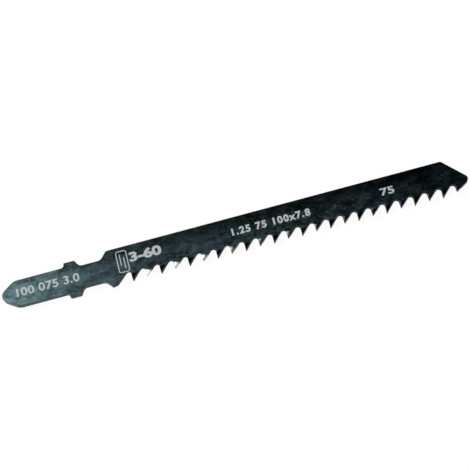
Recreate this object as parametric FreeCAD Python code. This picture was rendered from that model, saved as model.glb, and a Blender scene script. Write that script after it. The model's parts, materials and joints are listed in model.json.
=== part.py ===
import FreeCAD, Part
import math
import os

# A jigsaw blade for wood: one piece of blackened steel strip, with a shank that has a lug on each
# edge, a narrow neck, and a body with milled teeth that are set to alternate sides.
# Sizes are in millimetres and angles in degrees.
# X runs from the nose of the shank to the tip of the blade. Y runs from the teeth to the back
# edge, with 0 on the shank's centre line. Z is the thickness, with 0 halfway through the strip.
# The last step puts the origin under the middle of the blade.

# Strip
overall_length = 98.9
thickness = 1.25

# Shank
shank_width = 5.7
nose_radius = 1.6
nose_flank_angle = 34.0
shoulder_radius = 2.5

# Lugs, one on each edge of the shank
lug_front_x = 13.75
lug_length = 2.3
lug_height = 0.95
lug_fillet_radius = 0.72
lug_front_corner_radius = 0.2
lug_rear_angle = 59.0
lug_rear_corner_radius = 0.3

# Neck
neck_inset = 0.5
neck_length = 4.5
neck_front_radius = 1.15
neck_rear_radius = 1.5

# Body
body_width = 7.56
heel_width = 7.84
back_above_shank = 1.17
flare_angle = 49.0
back_corner_radius = 0.5
heel_corner_radius = 0.25
heel_land_angle = 10.0
heel_land_shortest = 0.6
heel_gap = 3.2

# Teeth
tooth_pitch = 3.0
tooth_depth = 2.1
gullet_radius = 0.6
tip_land = 0.08
last_tooth_setback = 2.9
last_tooth_drop = 0.95

# Set of the teeth, which starts at a bend line just below the round of the gullets
bend_line_drop = 0.1
bend_inner_radius = 0.3
set_angle = 17.5

# Tip
bevel_angle = 46.5
bevel_corner_radius = 0.3
tip_radius = 0.87
tip_below_back = 4.93


def vector(x, y, z=0.0):
    return FreeCAD.Vector(x, y, z)


def sine(angle):
    return math.sin(math.radians(angle))


def cosine(angle):
    return math.cos(math.radians(angle))


def tangent(angle):
    return math.tan(math.radians(angle))


def tangent_slope(start, centre, radius, side):
    """Angle of the line from start that touches a circle on its upper (1) or lower (-1) side."""
    direct = math.atan2(centre.y - start.y, centre.x - start.x)
    swing = math.asin(radius / start.distanceToPoint(centre))
    return math.degrees(direct + side * swing)


def corner_arc(before, corner, after, radius):
    """First, middle and last point of the arc that rounds a corner between two others."""
    to_before = (before - corner).normalize()
    to_after = (after - corner).normalize()
    half_angle = to_before.getAngle(to_after) / 2
    reach = radius / math.tan(half_angle)
    bisector = (to_before + to_after).normalize()
    middle = corner + bisector * (radius / math.sin(half_angle) - radius)
    return corner + to_before * reach, middle, corner + to_after * reach


def rounded_outline(corners):
    """Closed wire through corners given as (point, radius), where radius 0 is sharp."""
    arcs = []
    for index, (corner, radius) in enumerate(corners):
        before = corners[index - 1][0]
        after = corners[(index + 1) % len(corners)][0]
        if radius > 0:
            arcs.append(corner_arc(before, corner, after, radius))
        else:
            arcs.append((corner, corner, corner))
    edges = []
    for index, (first, middle, last) in enumerate(arcs):
        following = arcs[(index + 1) % len(arcs)][0]
        if not first.isEqual(last, 1e-6):
            edges.append(Part.Arc(first, middle, last).toShape())
        if not last.isEqual(following, 1e-6):
            edges.append(Part.LineSegment(last, following).toShape())
    return Part.Wire(edges)


# Heights across the blade
shank_edge = shank_width / 2
lug_edge = shank_edge + lug_height
neck_edge = shank_edge - neck_inset
back_edge = shank_edge + back_above_shank
tooth_tips = back_edge - body_width
gullet_tops = tooth_tips + tooth_depth
gullet_centres = gullet_tops - gullet_radius
bend_line = gullet_centres - bend_line_drop
heel_edge = back_edge - heel_width

# Places along the blade
shank_apex_x = nose_radius - nose_radius / sine(nose_flank_angle)
shoulder_x = shank_apex_x + shank_edge / tangent(nose_flank_angle)
lug_rear_x = lug_front_x + lug_length
neck_front_x = lug_rear_x + (lug_edge - neck_edge) / tangent(lug_rear_angle)
neck_rear_x = neck_front_x + neck_length
back_start_x = neck_rear_x + (back_edge - neck_edge) / tangent(flare_angle)
heel_x = neck_rear_x + (-neck_edge - heel_edge) / tangent(flare_angle)

# The row of teeth is spaced back from the tip, as far as it fits in front of the heel
last_tooth_x = overall_length - last_tooth_setback
row_room = last_tooth_x - heel_gap - heel_land_shortest - heel_x
tooth_count = 1 + int(row_room / tooth_pitch)
first_tooth_x = last_tooth_x - (tooth_count - 1) * tooth_pitch

# Tip of the blade: a bevel and the back of the last tooth, both touching one round nose
tip_centre = vector(overall_length - tip_radius, back_edge - tip_below_back)
last_tip = vector(last_tooth_x, bend_line - last_tooth_drop)
last_back_angle = tangent_slope(last_tip, tip_centre, tip_radius, -1)
bevel_normal = vector(sine(bevel_angle), cosine(bevel_angle))
last_back_normal = vector(sine(last_back_angle), -cosine(last_back_angle))
tip_corner = tip_centre + (bevel_normal + last_back_normal) * (
    tip_radius / (1 + bevel_normal.dot(last_back_normal)))
bevel_top = vector(tip_corner.x - (back_edge - tip_corner.y) / tangent(bevel_angle), back_edge)


def shank_side(side):
    """Corners of one edge from the shank's shoulder to the body, above (1) or below (-1)."""
    return [
        (vector(shoulder_x, side * shank_edge), shoulder_radius),
        (vector(lug_front_x, side * shank_edge), lug_fillet_radius),
        (vector(lug_front_x, side * lug_edge), lug_front_corner_radius),
        (vector(lug_rear_x, side * lug_edge), lug_rear_corner_radius),
        (vector(neck_front_x, side * neck_edge), neck_front_radius),
        (vector(neck_rear_x, side * neck_edge), neck_rear_radius),
    ]


def tooth_back(start, gullet_x):
    """Angle of the straight back that runs from a tip into the gullet of the next tooth."""
    centre = vector(gullet_x - gullet_radius, gullet_centres)
    return tangent_slope(start, centre, gullet_radius, 1)


def gullet_corner(start, gullet_x):
    """Where the back of one tooth would meet the upright face of the next."""
    rise = (gullet_x - start.x) * tangent(tooth_back(start, gullet_x))
    return (vector(gullet_x, start.y + rise), gullet_radius)


# The tip of each tooth, the angle of its back, and the side that it is set to: down, then up
teeth = []
for number in range(tooth_count):
    rake_x = first_tooth_x + number * tooth_pitch
    side = -1 if number % 2 == 0 else 1
    if number < tooth_count - 1:
        tip = vector(rake_x, tooth_tips)
        teeth.append((tip, tooth_back(tip, rake_x + tooth_pitch), side))
    else:
        teeth.append((last_tip, last_back_angle, side))


def root_rear_x(tip, back_angle):
    """Where the back of a tooth crosses the bend line."""
    return tip.x + (bend_line - tip.y) / tangent(back_angle)


def blank_solid():
    """The flat blade down to the bend line, with its gullets and its heel."""
    heel_rear_x = first_tooth_x - heel_gap
    heel_rear_y = heel_edge + (heel_rear_x - heel_x) * tangent(heel_land_angle)
    heel_rear = vector(heel_rear_x, heel_rear_y)
    corners = [(vector(shank_apex_x, 0), nose_radius)]
    corners += shank_side(1)
    corners.append((vector(back_start_x, back_edge), back_corner_radius))
    corners.append((bevel_top, bevel_corner_radius))
    corners.append((tip_corner, tip_radius))
    tips = [heel_rear] + [tip for tip, back_angle, side in teeth]
    for number in reversed(range(tooth_count)):
        before = tips[number]
        tip, back_angle, side = teeth[number]
        corners.append((vector(root_rear_x(tip, back_angle), bend_line), 0))
        corners.append((vector(tip.x, bend_line), 0))
        corners.append(gullet_corner(before, tip.x))
    corners.append((heel_rear, 0))
    corners.append((vector(heel_x, heel_edge), heel_corner_radius))
    corners += reversed(shank_side(-1))
    face = Part.Face(rounded_outline(corners))
    face.translate(vector(0, 0, -thickness / 2))
    return face.extrude(vector(0, 0, thickness))


def set_strip(side):
    """A strip of the blade's thickness that turns to one side below the bend line."""
    axis = vector(0, bend_line, side * (thickness / 2 + bend_inner_radius))
    straight = vector(0, -cosine(set_angle), side * sine(set_angle)) * (2 * tooth_depth)

    def surface(radius):
        """Three points of the bend at this radius, and the far end of the straight after it."""
        turns = (0, set_angle / 2, set_angle)
        bend = [axis + vector(0, -sine(a), -side * cosine(a)) * radius for a in turns]
        return bend + [bend[-1] + straight]

    inner = surface(bend_inner_radius)
    outer = surface(bend_inner_radius + thickness)
    edges = [
        Part.LineSegment(outer[0], inner[0]).toShape(),
        Part.Arc(inner[0], inner[1], inner[2]).toShape(),
        Part.LineSegment(inner[2], inner[3]).toShape(),
        Part.LineSegment(inner[3], outer[3]).toShape(),
        Part.LineSegment(outer[3], outer[2]).toShape(),
        Part.Arc(outer[2], outer[1], outer[0]).toShape(),
    ]
    return Part.Face(Part.Wire(edges)).extrude(vector(2 * tooth_pitch, 0))


def tooth_solid(tip, back_angle, side):
    """One tooth below the bend line: its upright face, its land and its sloping back."""
    land_y = tip.y + tip_land * tangent(back_angle)
    corners = [
        (vector(tip.x, bend_line), 0),
        (vector(tip.x, land_y), 0),
        (vector(tip.x + tip_land, land_y), 0),
        (vector(root_rear_x(tip, back_angle), bend_line), 0),
    ]
    plan = Part.Face(rounded_outline(corners))
    plan.translate(vector(0, 0, -2 * tooth_depth))
    prism = plan.extrude(vector(0, 0, 4 * tooth_depth))
    strip = set_strips[side].translated(vector(tip.x - tooth_pitch / 2, 0))
    return strip.common(prism)


set_strips = {side: set_strip(side) for side in (1, -1)}
blade = blank_solid().fuse([tooth_solid(*tooth) for tooth in teeth]).removeSplitter()
if len(blade.Solids) != 1 or not blade.isValid():
    raise ValueError("the blade is not one valid solid")

box = blade.BoundBox
blade.translate(vector(-box.Center.x, -box.Center.y, -box.ZMin))
os.makedirs("parts", exist_ok=True)
blade.Solids[0].exportStep("parts/blade.step")
print(tooth_count, "teeth,", len(blade.Faces), "faces,", round(blade.Volume, 2), "cubic mm")
print("box", round(box.XLength, 3), round(box.YLength, 3), round(box.ZLength, 3))
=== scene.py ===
import json
import math

import bmesh
import bpy
from mathutils import Matrix, Vector


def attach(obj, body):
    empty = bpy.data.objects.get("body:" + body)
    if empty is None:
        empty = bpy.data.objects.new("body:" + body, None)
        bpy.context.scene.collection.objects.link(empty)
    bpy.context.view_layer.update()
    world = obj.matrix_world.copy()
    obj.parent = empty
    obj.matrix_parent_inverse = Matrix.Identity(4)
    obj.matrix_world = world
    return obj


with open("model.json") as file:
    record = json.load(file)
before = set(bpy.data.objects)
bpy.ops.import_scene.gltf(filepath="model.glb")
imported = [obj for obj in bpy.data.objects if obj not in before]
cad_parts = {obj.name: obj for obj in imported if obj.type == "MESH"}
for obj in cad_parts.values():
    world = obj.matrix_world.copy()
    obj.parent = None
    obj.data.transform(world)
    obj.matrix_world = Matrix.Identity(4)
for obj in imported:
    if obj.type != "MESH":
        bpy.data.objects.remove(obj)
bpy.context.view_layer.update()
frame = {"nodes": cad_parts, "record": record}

# The blade lies along X, with the nose of its shank at -X, its teeth at -Y and its printed face
# up. Sizes are in metres and angles in degrees. A value whose comment gives it in millimetres is
# multiplied by mm where it is used. A band is two places in millimetres: where something starts
# and where it is full. The second may be the smaller.
mm = 0.001

# The photograph's view: high above the side with the teeth, with the tip turned up to the right
view_elevation = 70.0
view_roll = 14.975
view_distance = 0.2694
view_centre = Vector((0.17, 0.19, 1.0)) * mm
lens_length_mm = 100.0

# Floor and surroundings, with the sines of the angles above the floor where the white surround
# starts to darken and where the dark ceiling is full
floor_width = 8.0
floor_colour = (0.86, 0.86, 0.85, 1)
floor_glow = 1.09
floor_glow_share = 0.84
surround_colour = (1.0, 1.0, 1.0, 1)
surround_top = 0.08
ceiling_colour = (0.012, 0.012, 0.012, 1)
ceiling_start = 0.28

# Softboxes, by name: degrees from straight overhead, degrees from behind the blade round to its
# left, distance, width, height, and radiance, which is 1 where the box looks just white
softboxes = {
    "key": (52, 23, 0.45, 0.13, 0.13, 14.0),
    "upper_left": (33, 50, 0.45, 0.20, 0.15, 3.2),
    "left": (62, 88, 0.60, 0.40, 0.25, 1.2),
    "front": (63, 180, 0.60, 0.40, 0.30, 3.2),
    "front_left": (64, 140, 0.60, 0.40, 0.30, 2.3),
    "right": (60, -90, 0.60, 0.40, 0.30, 2.8),
}

# The blade's upper face, which carries the print, from the mount that lies on it
mounts = {mount["name"]: mount for mount in frame["record"]["mounts"]}
upper_face_z = mounts["shank_upper_flat"]["pos_m"][2]

# Edges of the blade, slightly rounded by tumbling. The solid's triangles are merged to whole
# flats first, and large faces keep their flat shading.
merge_distance = 0.001 * mm
flat_angle = 0.5
edge_round = 0.03 * mm
edge_steps = 2
edge_sharpness = 25.0
face_weight = 100

# The teeth, which are set down and up in turn: the upright face of the first, their pitch, how far
# a tooth's finish reaches before and behind its upright face, and how soft its two ends are
first_tooth_x = -22.45 * mm
tooth_pitch = 3.0 * mm
tooth_before = 0.3 * mm
tooth_behind = 2.6 * mm
tooth_softness = 0.1 * mm

# The line across the blade where the teeth start to bend, and how far the bend reaches below it
bend_line_y = -2.25 * mm
bend_reach = 0.3 * mm

# Patterns in the steel, by name: the size of their spots in millimetres along X, Y and Z, and the
# detail, roughness and distortion of their noise
steel_patterns = {
    "clouds": ((3.2, 1.6, 1.6), 3.0, 0.55, 0.4),
    "broad_clouds": ((7.0, 3.5, 3.5), 2.0, 0.5, 0.0),
    "patches": ((1.9, 1.1, 1.1), 3.0, 0.6, 0.3),
    "tint": ((2.6, 1.5, 1.5), 2.0, 0.5, 0.5),
    "mottle": ((0.7, 0.45, 0.45), 3.0, 0.6, 0.0),
    "rolling": ((14.0, 0.09, 0.09), 3.0, 0.6, 0.0),
    "specks": ((0.11, 0.09, 0.09), 2.0, 0.6, 0.0),
    "milling": ((0.05, 0.05, 3.0), 2.0, 0.5, 0.0),
}

# The oxide's darkest colour, and the layers over it: their pattern, its values where a layer
# starts and is full, how much of the layer then shows, and its colour
oxide_base = (0.020, 0.046, 0.045, 1)
oxide_layers = [
    ("clouds", 0.37, 0.62, 1.0, (0.116, 0.184, 0.204, 1)),
    ("tint", 0.42, 0.64, 0.6, (0.055, 0.080, 0.122, 1)),
    ("broad_clouds", 0.40, 0.65, 0.5, (0.022, 0.056, 0.046, 1)),
    ("mottle", 0.44, 0.66, 0.5, (0.150, 0.225, 0.240, 1)),
    ("specks", 0.60, 0.72, 0.35, (0.160, 0.210, 0.218, 1)),
]

# The darker strip along the back, whose edge wavers by this many millimetres with the clouds.
# A tone is the factors that it multiplies red, green and blue by.
back_band = (0.6, 4.2)
back_waver = 2.0
back_tone = (0.42, 0.43, 0.43, 1)

# Parts of the blade that are darker or lighter, by name: bands along it, bands across it, tone.
# The darker tip and lower shank are painted shade, and the lighter upper shank and upper tip
# painted light, for light that falls off along the blade and across the shank.
place_tones_and_painted_light = {
    "neck": ([(-38, -31), (-9, -16)], [], (0.76, 0.77, 0.78, 1)),
    "middle": ([(-4, 6)], [(2.6, 0.6)], (1.30, 1.34, 1.36, 1)),
    "tip": ([(22, 42)], [], (0.50, 0.53, 0.58, 1)),
    "lower_shank_painted_shade": (
        [(-42, -37), (-23, -27)], [(0.1, -1.5), (-2.5, -1.4)], (0.73, 0.75, 0.75, 1)),
    "upper_shank_painted_light": ([(-35, -39), (-48, -43)], [(0.4, 1.6)], (1.28, 1.25, 1.24, 1)),
    "upper_tip_painted_light": ([(41, 46)], [(-1.5, 1.5)], (2.0, 1.8, 1.75, 1)),
}

# Uneven patches, which grow along the blade: their pattern, its values where a tone starts and is
# full, and the tone
patchy_band = (-30, 22)
patch_tones = [
    ("patches", 0.50, 0.36, (0.50, 0.56, 0.55, 1)),
    ("patches", 0.50, 0.64, (1.75, 1.62, 1.66, 1)),
    ("tint", 0.50, 0.62, (0.82, 0.98, 1.18, 1)),
    ("tint", 0.50, 0.38, (1.12, 1.04, 0.97, 1)),
]

# Tones of the teeth below their bend: of all, of those nearer to the tip, which is painted shade,
# and of a few that are brighter or duller than their neighbours, by number
teeth_tone = (0.60, 0.62, 0.62, 1)
far_teeth_band = (-10, 8)
far_teeth_painted_shade = (0.46, 0.38, 0.36, 1)
uneven_teeth = {12: 1.8, 16: 0.6, 18: 0.2}

# Cut sides: how nearly upright a face is where they start and are full, how much of their colour
# shows, and the dark and light streaks of milling, as cut and paler on the shank. The paler shank
# streaks are painted light and the darker tone along the teeth is painted shade, for light that
# falls off along the blade.
cut_side_tilt = (0.8, 0.6)
cut_side_share = 0.9
streak_range = (0.3, 0.7)
cut_streaks = ((0.014, 0.018, 0.020, 1), (0.034, 0.040, 0.042, 1))
painted_light_cut_streaks = ((0.050, 0.060, 0.062, 1), (0.100, 0.110, 0.110, 1))
painted_light_cut_band = (-18, -34)
painted_shade_cut_band = (-18, -4)
painted_shade_cut_tone = (0.40, 0.42, 0.43, 1)

# Painted sheens on the cut sides at the two ends, pale where they face the nose and brown where
# they face the tip: the slope along X where a sheen starts and is full, its band and its colour,
# and how much of it shows, with what the mottle adds
end_painted_sheens = [
    ((-0.20, -0.75), (-20, -24), (0.50, 0.46, 0.38, 1)),
    ((0.75, 0.95), (46, 48), (0.20, 0.12, 0.05, 1)),
]
end_sheen_share = 0.5
end_sheen_mottle = 0.4

# Rubbed edges: their width, the samples that find them, how far the rounded normal has turned and
# the mottle's values where they start and are full, their band across the blade, their share and
# their colour
rubbed_width = 0.09 * mm
rubbed_samples = 6
rubbed_turn = (0.02, 0.2)
rubbed_mottle = (0.3, 0.62)
rubbed_band = (-2.6, -1.0)
rubbed_share = 0.35
rubbed_colour = (0.26, 0.27, 0.26, 1)

# Painted highlight on the outer sides of the set teeth: near-white colour, brightest near the
# shank and fading towards the tip, stands in for the reflection of the lights. How far a face
# looks down where it counts as the underside, how far below the bend the painted highlight starts,
# its band along the blade, which wavers by some millimetres with the mottle, and the powers that
# the fading has on all faces and again on cut sides
underside_tilt = (-0.5, -0.9)
highlight_drop = 0.18 * mm
highlight_band = (14, -24)
highlight_waver = 3.0
highlight_power = 2.1
highlight_cut_power = 0.7
# The painted highlight's colours on faces and on cut sides, and a warmer tone on the outer faces
# of the teeth nearer the shank, which tints their highlights
painted_highlight_face_colour = (0.73, 0.78, 0.72, 1)
painted_highlight_cut_colour = (0.92, 0.96, 0.91, 1)
outer_face_band = (16, 6)
outer_face_tone = (1.10, 0.82, 0.74, 1)

# The steel's roughness, and what patterns and places add to it
steel_roughness = 0.17
pattern_roughness = {"clouds": 0.09, "mottle": 0.1, "rolling": 0.05}
cut_roughness = 0.1
teeth_roughness = -0.06
highlight_roughness = 0.15

# The relief of the flats, by pattern, and how strongly and how high all relief stands out
flat_relief = {"rolling": 0.5, "specks": 0.3, "mottle": 0.2}
relief_strength = 0.5
relief_height = 0.006 * mm

# The shine of the steel's grazing edges and of the thin film of oil on it
grazing_tint = (0.5, 0.5, 0.5, 1)
oil_weight = 0.05
oil_roughness = 0.2

# Ink: how thick it stands and how deep it sinks into the face, its patterns, its dark and pale
# colours, what shows where it has thinned, and its roughness
ink_thickness = 0.014 * mm
ink_sink = 0.004 * mm
ink_patterns = {
    "patches": ((0.55, 0.45, 0.45), 3.0, 0.6, 0.0),
    "grains": ((0.07, 0.07, 0.07), 1.0, 0.5, 0.0),
}
ink_dark = (0.46, 0.52, 0.53, 1)
ink_pale = (0.58, 0.64, 0.65, 1)
thin_ink_colour = (0.08, 0.10, 0.11, 1)
thin_ink_mix = {"patches": 0.55, "grains": 0.45}
thin_ink_range = (0.56, 0.68)
thin_ink_share = 0.6
ink_roughness = 0.5
ink_grain_roughness = 0.2

# Print, by the name of its piece: its left, right, bottom and top in millimetres
print_places = {
    "shank_numbers": (-46.4, -33.0, -0.93, 0.9),
    "board_sign": (-24.8, -22.45, -1.7, 3.1),
    "thickness_numbers": (-22.1, -15.3, 0.1, 2.3),
    "size_numbers": (-0.35, 16.35, -0.17, 1.5),
    "tip_number": (31.35, 34.25, -0.12, 1.52),
}

# Printed numbers: what they say, how bold their strokes are, and how wide they are spaced
printed_numbers = {
    "shank_numbers": ("100 075 3.0", 0.024, 1.05),
    "thickness_numbers": ("3-60", 0.045, 1.0),
    "size_numbers": ("1.25 75 100x7.8", 0.042, 1.22),
    "tip_number": ("75", 0.026, 1.0),
}

# Curves of the print: steps in each bend of a digit and in each corner of the board, and how thick
# the curves are before they are fitted to the face
digit_steps = 8
corner_steps = 6
curve_thickness = 0.1

# The board, in millimetres: its line, its corners outside and inside, and its lines of grain, with
# how far they lie from its middle, and their length as a share of the board's
board_line = 0.2
board_corner = 0.55
board_inner_corner = 0.3
grain_offset = 0.38
grain_width = 0.2
grain_length = 0.52
grain_corner = 0.09

# Sockets of the Mix node, by their numbers: its share, its two values and colours, and its outputs
mix_share = 0
mix_values = (2, 3)
mix_colours = (6, 7)
mixed_value = 0
mixed_colour = 2


class Signal:
    """The output of a shader node. Sums with it add the Math nodes that they need."""

    def __init__(self, shader, socket):
        self.shader = shader
        self.socket = socket

    def maths(self, operation, *values):
        settings = {"operation": operation}
        return self.shader.add("ShaderNodeMath", settings, dict(enumerate(values)))

    def __add__(self, other):
        return self.maths("ADD", self, other)

    def __radd__(self, other):
        return self.maths("ADD", other, self)

    def __sub__(self, other):
        return self.maths("SUBTRACT", self, other)

    def __rsub__(self, other):
        return self.maths("SUBTRACT", other, self)

    def __mul__(self, other):
        return self.maths("MULTIPLY", self, other)

    def __rmul__(self, other):
        return self.maths("MULTIPLY", other, self)

    def __pow__(self, other):
        return self.maths("POWER", self, other)

    def __abs__(self):
        return self.maths("ABSOLUTE", self)

    def larger(self, other):
        return self.maths("MAXIMUM", self, other)

    def fraction(self):
        return self.maths("FRACT", self)

    def above(self, limit):
        return self.maths("GREATER_THAN", self, limit)

    def step(self, low, high):
        """0 below low, 1 above high, and a smooth rise between them. Low may be the larger."""
        settings = {"interpolation_type": "SMOOTHSTEP"}
        inputs = {"Value": self, "From Min": low, "From Max": high}
        return self.shader.add("ShaderNodeMapRange", settings, inputs)

    def band(self, start, full):
        """The same, for a place in metres and limits in millimetres."""
        return self.step(start * mm, full * mm)


class Shader:
    """The nodes of a material or of the world."""

    def __init__(self, owner):
        owner.use_nodes = True
        self.tree = owner.node_tree
        self.tree.nodes.clear()

    def add(self, kind, settings=None, inputs=None, output=0):
        """Adds a node, sets its settings and its sockets' values or links, and gives an output."""
        node = self.tree.nodes.new(kind)
        for name, value in (settings or {}).items():
            setattr(node, name, value)
        for name, value in (inputs or {}).items():
            if isinstance(value, Signal):
                self.tree.links.new(value.socket, node.inputs[name])
            else:
                node.inputs[name].default_value = value
        return Signal(self, node.outputs[output]) if node.outputs else None

    def noise(self, size_mm, detail, roughness, distortion):
        """Cloudy noise from 0 to 1 whose spots have this size in millimetres along X, Y and Z."""
        place = self.add("ShaderNodeTexCoord", output="Object")
        scale = tuple(1 / (mm * size) for size in size_mm)
        place = self.add("ShaderNodeVectorMath", {"operation": "MULTIPLY"}, {0: place, 1: scale})
        inputs = {"Vector": place, "Scale": 1.0, "Detail": detail, "Roughness": roughness,
                  "Distortion": distortion}
        return self.add("ShaderNodeTexNoise", {}, inputs)

    def patterns(self, table):
        """Noises by name, from a table of their sizes and settings."""
        return {name: self.noise(*values) for name, values in table.items()}

    def mix(self, settings, sockets, share, first, second, output):
        inputs = {mix_share: share, sockets[0]: first, sockets[1]: second}
        return self.add("ShaderNodeMix", settings, inputs, output)

    def blend(self, share, first, second):
        """The first colour where share is 0 and the second where it is 1."""
        return self.mix({"data_type": "RGBA"}, mix_colours, share, first, second, mixed_colour)

    def tone(self, share, colour, factors):
        """The colour multiplied by a factor for red, green and blue, as far as share is 1."""
        settings = {"data_type": "RGBA", "blend_type": "MULTIPLY"}
        return self.mix(settings, mix_colours, share, colour, factors, mixed_colour)

    def blend_values(self, share, first, second):
        """The first value where share is 0 and the second where it is 1."""
        return self.mix({"data_type": "FLOAT"}, mix_values, share, first, second, mixed_value)

    def part(self, vector, axis):
        """The X, Y or Z part of a vector."""
        return self.add("ShaderNodeSeparateXYZ", {}, {"Vector": vector}, output=axis)

    def finish(self, surface, kind="ShaderNodeOutputMaterial"):
        self.add(kind, {}, {"Surface": surface})


def weighted(patterns, shares):
    """The sum of patterns, each multiplied by its share."""
    total = 0.0
    for name, share in shares.items():
        total = total + share * patterns[name]
    return total


def seen_or_mirrored(shader):
    """1 for what the camera, a mirror or glass shows, and 0 for what only lights the blade."""
    rays = ("Is Camera Ray", "Is Glossy Ray", "Is Transmission Ray")
    camera, glossy, transmission = (
        shader.add("ShaderNodeLightPath", output=name) for name in rays)
    return camera.larger(glossy).larger(transmission)


def white_paper():
    """Pale paper that shows as white and still takes the blade's faint shadow."""
    material = bpy.data.materials.new("white_paper")
    shader = Shader(material)
    paper = shader.add("ShaderNodeBsdfDiffuse", {}, {"Color": floor_colour})
    glow = shader.add("ShaderNodeEmission", {}, {"Strength": floor_glow})
    share = seen_or_mirrored(shader) * floor_glow_share
    shader.finish(shader.add("ShaderNodeMixShader", {}, {0: share, 1: paper, 2: glow}))
    return material


class BladeSteel:
    """Colour, roughness and relief of the blade's steel, and the signals that they share."""

    def __init__(self, shader):
        self.shader = shader
        self.patterns = shader.patterns(steel_patterns)
        place = shader.add("ShaderNodeTexCoord", output="Object")
        self.along = shader.part(place, "X")
        self.across = shader.part(place, "Y")
        normal = shader.add("ShaderNodeTexCoord", output="Normal")
        self.towards_tip = shader.part(normal, "X")
        self.facing_up = shader.part(normal, "Z")
        self.rounded_normal = shader.add(
            "ShaderNodeBevel", {"samples": rubbed_samples}, {"Radius": rubbed_width})
        self.cut_side = abs(self.facing_up).step(*cut_side_tilt)
        self.teeth = self.below_bend(0)
        self.outer_side = self.outer_side_of_teeth()
        self.painted_highlight = self.painted_highlight_part()

    def within(self, along_bands, across_bands=()):
        """1 inside all of these bands along the blade and across it."""
        share = 1.0
        for start, full in along_bands:
            share = share * self.along.band(start, full)
        for start, full in across_bands:
            share = share * self.across.band(start, full)
        return share

    def past_face(self, face_x):
        """1 from just before a tooth's upright face towards the tip."""
        start = face_x - tooth_before
        return self.along.step(start, start + tooth_softness)

    def below_bend(self, drop):
        """1 on the teeth, from the line where they bend or from a line lower by drop."""
        start = bend_line_y - drop
        return self.across.step(start, start - bend_reach) * self.past_face(first_tooth_x)

    def outer_side_of_teeth(self):
        """1 below on the first tooth of each pair, which is set down, and above on the second."""
        pairs = (self.along - (first_tooth_x - tooth_before)) * (1 / (2 * tooth_pitch))
        set_up = pairs.fraction().above(1 / 2)
        underside = self.facing_up.step(*underside_tilt)
        return self.shader.blend_values(set_up, underside, 1 - underside)

    def painted_highlight_part(self):
        """1 where the outer sides of the teeth carry the painted highlight, fading towards the
        tip.
        """
        wavering = self.along + highlight_waver * mm * self.patterns["mottle"]
        fade = wavering.band(*highlight_band) ** highlight_power
        fade = self.shader.blend_values(self.cut_side, fade, fade ** highlight_cut_power)
        return self.outer_side * self.below_bend(highlight_drop) * fade

    def rubbed_edges(self):
        """1 on the edges where they are rubbed, apart from the teeth's."""
        true_normal = self.shader.add("ShaderNodeNewGeometry", output="True Normal")
        normals = {0: self.rounded_normal, 1: true_normal}
        alike = self.shader.add(
            "ShaderNodeVectorMath", {"operation": "DOT_PRODUCT"}, normals, output="Value")
        uneven = self.patterns["mottle"].step(*rubbed_mottle)
        return (1 - alike).step(*rubbed_turn) * uneven * self.across.band(*rubbed_band)

    def oxide(self):
        """The oxide's layers, under the tones of its places, patches and teeth, partly painted
        shade and light.
        """
        shader = self.shader
        oxide = oxide_base
        for name, start, full, share, colour in oxide_layers:
            layer = self.patterns[name].step(start, full) * share
            oxide = shader.blend(layer, oxide, colour)
        back = (self.across + back_waver * mm * self.patterns["clouds"]).band(*back_band)
        oxide = shader.tone(back, oxide, back_tone)
        # Tones of places, partly painted shade and painted light
        for along_bands, across_bands, tone in place_tones_and_painted_light.values():
            oxide = shader.tone(self.within(along_bands, across_bands), oxide, tone)
        patchy = self.within([patchy_band])
        for name, start, full, tone in patch_tones:
            oxide = shader.tone(patchy * self.patterns[name].step(start, full), oxide, tone)
        oxide = shader.tone(self.teeth, oxide, teeth_tone)
        # Painted shade on the teeth nearer the tip, which also greys their glints
        oxide = shader.tone(self.teeth * self.within([far_teeth_band]), oxide, far_teeth_painted_shade)
        for number, factor in uneven_teeth.items():
            face_x = first_tooth_x + (number - 1) * tooth_pitch
            end = face_x + tooth_behind
            tooth = self.past_face(face_x) * self.along.step(end, end - tooth_softness)
            oxide = shader.tone(self.teeth * tooth, oxide, (factor, factor, factor, 1))
        return oxide

    def cut_colour(self):
        """Streaky cut sides: painted shade along the teeth, painted light on the shank, painted
        sheens at the ends.
        """
        shader = self.shader
        streaks = self.patterns["milling"].step(*streak_range)
        cut = shader.blend(streaks, *cut_streaks)
        # Painted light: paler streaks on the cut sides of the shank
        painted_light_cut = shader.blend(streaks, *painted_light_cut_streaks)
        # Painted shade: darker cut sides along the teeth
        cut = shader.tone(self.within([painted_shade_cut_band]), cut, painted_shade_cut_tone)
        cut = shader.blend(self.within([painted_light_cut_band]), cut, painted_light_cut)
        # Painted sheens on the cut sides that face the nose and the tip
        share = end_sheen_share + end_sheen_mottle * self.patterns["mottle"]
        for slope, band, colour in end_painted_sheens:
            painted_sheen = self.towards_tip.step(*slope) * self.within([band])
            cut = shader.blend(painted_sheen * share, cut, colour)
        return cut

    def colour(self):
        shader = self.shader
        colour = shader.blend(self.cut_side * cut_side_share, self.oxide(), self.cut_colour())
        colour = shader.blend(self.rubbed_edges() * rubbed_share, colour, rubbed_colour)
        outer_faces = self.outer_side * self.teeth * (1 - self.cut_side)
        outer_faces = outer_faces * self.within([outer_face_band])
        colour = shader.tone(outer_faces, colour, outer_face_tone)
        # Painted highlight, near white, on the outer sides of the teeth near the shank
        painted_highlight_colour = shader.blend(self.cut_side, painted_highlight_face_colour, painted_highlight_cut_colour)
        return shader.blend(self.painted_highlight, colour, painted_highlight_colour)

    def roughness(self):
        rough = steel_roughness + weighted(self.patterns, pattern_roughness)
        rough = rough + cut_roughness * self.cut_side + teeth_roughness * self.teeth
        # Rougher where the highlight is painted
        return rough + highlight_roughness * self.painted_highlight

    def relief(self):
        """The height of rolling marks and specks on the flats, and of milling on the cut sides."""
        flat = weighted(self.patterns, flat_relief)
        return flat * (1 - self.cut_side) + self.patterns["milling"] * self.cut_side


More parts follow.
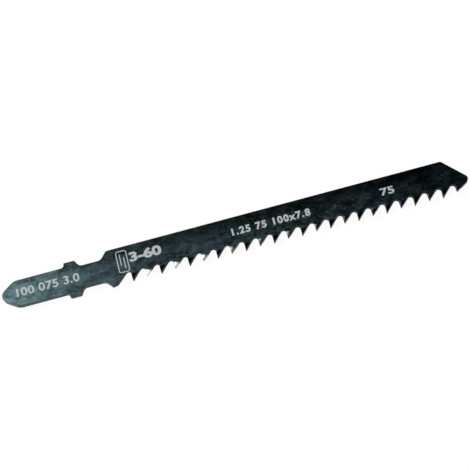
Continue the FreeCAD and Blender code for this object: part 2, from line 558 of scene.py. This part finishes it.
def oxide_black_steel():
    """Rolled carbon steel under a thin teal-black oxide, cloudy, and rubbed along its edges, with
    painted shade, painted light and painted highlights.
    """
    material = bpy.data.materials.new("oxide_black_steel")
    shader = Shader(material)
    steel = BladeSteel(shader)
    bumpy_normal = shader.add("ShaderNodeBump", {}, {
        "Strength": relief_strength, "Distance": relief_height, "Height": steel.relief(),
        "Normal": steel.rounded_normal})
    shader.finish(shader.add("ShaderNodeBsdfPrincipled", {}, {
        "Base Color": steel.colour(), "Metallic": 1.0, "Roughness": steel.roughness(),
        "Normal": bumpy_normal, "Specular Tint": grazing_tint, "Coat Weight": oil_weight,
        "Coat Roughness": oil_roughness}))
    return material


def printed_ink():
    """Pale grey printed ink, thin and slightly rubbed away, with the dark steel showing in its
    gaps.
    """
    material = bpy.data.materials.new("printed_ink")
    shader = Shader(material)
    patterns = shader.patterns(ink_patterns)
    colour = shader.blend(patterns["patches"], ink_dark, ink_pale)
    thin = weighted(patterns, thin_ink_mix).step(*thin_ink_range)
    colour = shader.blend(thin * thin_ink_share, colour, thin_ink_colour)
    rough = ink_roughness + ink_grain_roughness * patterns["grains"]
    inputs = {"Base Color": colour, "Roughness": rough}
    shader.finish(shader.add("ShaderNodeBsdfPrincipled", {}, inputs))
    return material


def add_surroundings():
    """A white surround that reaches a little way up, under a dark ceiling."""
    world = bpy.data.worlds.new("studio")
    bpy.context.scene.world = world
    shader = Shader(world)
    direction = shader.add("ShaderNodeTexCoord", output="Generated")
    darkness = shader.part(direction, "Z").step(surround_top, ceiling_start)
    colour = shader.blend(darkness, surround_colour, ceiling_colour)
    light = shader.add("ShaderNodeBackground", {}, {"Color": colour})
    shader.finish(light, "ShaderNodeOutputWorld")


def add_floor():
    half = floor_width / 2
    mesh = bpy.data.meshes.new("floor")
    corners = [(-half, -half, 0), (half, -half, 0), (half, half, 0), (-half, half, 0)]
    mesh.from_pydata(corners, [], [(0, 1, 2, 3)])
    mesh.materials.append(white_paper())
    floor = bpy.data.objects.new("floor", mesh)
    bpy.context.scene.collection.objects.link(floor)


def place_round_blade(from_overhead, from_behind, distance):
    """A place above the floor, by two angles and a distance from the middle of the blade."""
    tilt = math.radians(from_overhead)
    turn = math.radians(from_behind)
    across = math.sin(tilt)
    direction = Vector((-math.sin(turn) * across, math.cos(turn) * across, math.cos(tilt)))
    return direction * distance


def add_softbox(name, place, width, height, radiance):
    """A plain softbox that faces the blade."""
    light = bpy.data.lights.new(name, "AREA")
    light.shape = "RECTANGLE"
    light.size = width
    light.size_y = height
    light.energy = radiance * width * height * math.pi
    softbox = bpy.data.objects.new(name, light)
    softbox.location = place
    softbox.rotation_euler = place.to_track_quat("Z", "Y").to_euler()
    softbox.visible_camera = False
    bpy.context.scene.collection.objects.link(softbox)


def add_camera():
    elevation = math.radians(view_elevation)
    back = Vector((0, -math.cos(elevation), math.sin(elevation)))
    up = Vector((0, math.sin(elevation), math.cos(elevation)))
    level = Matrix((Vector((1, 0, 0)), up, back)).transposed()
    turned = Matrix.Rotation(-math.radians(view_roll), 3, back) @ level
    camera = bpy.data.objects.new("camera", bpy.data.cameras.new("camera"))
    camera.data.lens = lens_length_mm
    camera.matrix_world = Matrix.Translation(view_centre + back * view_distance) @ turned.to_4x4()
    bpy.context.scene.collection.objects.link(camera)
    bpy.context.scene.camera = camera


def finish_blade():
    """The steel's finish, and slightly rounded edges all round the blade."""
    blade = frame["nodes"]["blade"]
    blade.data.materials.clear()
    blade.data.materials.append(oxide_black_steel())
    weld = blade.modifiers.new("weld", "WELD")
    weld.merge_threshold = merge_distance
    flats = blade.modifiers.new("flats", "DECIMATE")
    flats.decimate_type = "DISSOLVE"
    flats.angle_limit = math.radians(flat_angle)
    edges = blade.modifiers.new("edges", "BEVEL")
    edges.width = edge_round
    edges.segments = edge_steps
    edges.limit_method = "ANGLE"
    edges.angle_limit = math.radians(edge_sharpness)
    edges.use_clamp_overlap = False
    shading = blade.modifiers.new("shading", "WEIGHTED_NORMAL")
    shading.weight = face_weight


def number_curve(name, text, boldness, spacing):
    curve = bpy.data.curves.new(name, "FONT")
    curve.body = text
    curve.offset = boldness
    curve.space_character = spacing
    curve.resolution_u = digit_steps
    return curve


def rounded_rectangle(centre, width, height, radius):
    """Points of a rectangle with round corners."""
    points = []
    for quarter in range(4):
        side_x = 1 if quarter in (0, 3) else -1
        side_y = 1 if quarter in (0, 1) else -1
        x = centre[0] + side_x * (width / 2 - radius)
        y = centre[1] + side_y * (height / 2 - radius)
        for number in range(corner_steps + 1):
            angle = math.radians(90 * (quarter + number / corner_steps))
            points.append((x + radius * math.cos(angle), y + radius * math.sin(angle)))
    return points


def board_curve(name, left, right, bottom, top):
    """The outline of a board with two lines of grain, as a plain sign that the blade cuts wood."""
    width = right - left
    height = top - bottom
    centre = ((left + right) / 2, (bottom + top) / 2)
    inner_width = width - 2 * board_line
    inner_height = height - 2 * board_line
    outlines = [
        rounded_rectangle(centre, width, height, board_corner),
        rounded_rectangle(centre, inner_width, inner_height, board_inner_corner),
    ]
    for offset in (-grain_offset, grain_offset):
        grain_centre = (centre[0] + offset, centre[1] - offset)
        outlines.append(
            rounded_rectangle(grain_centre, grain_width, grain_length * height, grain_corner))
    curve = bpy.data.curves.new(name, "CURVE")
    curve.dimensions = "2D"
    curve.fill_mode = "BOTH"
    for outline in outlines:
        spline = curve.splines.new("POLY")
        spline.points.add(len(outline) - 1)
        for point, (x, y) in zip(spline.points, outline):
            point.co = (x, y, 0, 1)
        spline.use_cyclic_u = True
    return curve


def print_on_face(name, curve, left, right, bottom, top):
    """A flat curve as a closed sheet of ink, fitted to its place on the upper face."""
    curve.extrude = curve_thickness
    holder = bpy.data.objects.new(name + "_curve", curve)
    bpy.context.scene.collection.objects.link(holder)
    depsgraph = bpy.context.evaluated_depsgraph_get()
    mesh = bpy.data.meshes.new_from_object(holder.evaluated_get(depsgraph))
    bpy.data.objects.remove(holder)
    mesh.name = name
    low = [min(vertex.co[axis] for vertex in mesh.vertices) for axis in range(3)]
    high = [max(vertex.co[axis] for vertex in mesh.vertices) for axis in range(3)]
    start = (left * mm, bottom * mm, upper_face_z - ink_sink)
    size = ((right - left) * mm, (top - bottom) * mm, ink_thickness + ink_sink)
    for vertex in mesh.vertices:
        for axis in range(3):
            share = (vertex.co[axis] - low[axis]) / (high[axis] - low[axis])
            vertex.co[axis] = start[axis] + share * size[axis]
    shape = bmesh.new()
    shape.from_mesh(mesh)
    bmesh.ops.remove_doubles(shape, verts=shape.verts, dist=merge_distance)
    bmesh.ops.recalc_face_normals(shape, faces=shape.faces)
    shape.to_mesh(mesh)
    shape.free()
    mesh.materials.clear()
    mesh.materials.append(ink)
    piece = bpy.data.objects.new(name, mesh)
    bpy.context.scene.collection.objects.link(piece)
    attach(piece, "root")


add_camera()
add_floor()
add_surroundings()
for name, (from_overhead, from_behind, distance, *box) in softboxes.items():
    add_softbox(name + "_softbox", place_round_blade(from_overhead, from_behind, distance), *box)
finish_blade()
ink = printed_ink()
for name, place in print_places.items():
    if name in printed_numbers:
        curve = number_curve(name, *printed_numbers[name])
    else:
        curve = board_curve(name, *place)
    print_on_face(name, curve, *place)

bpy.context.scene.view_settings.view_transform = "Standard"
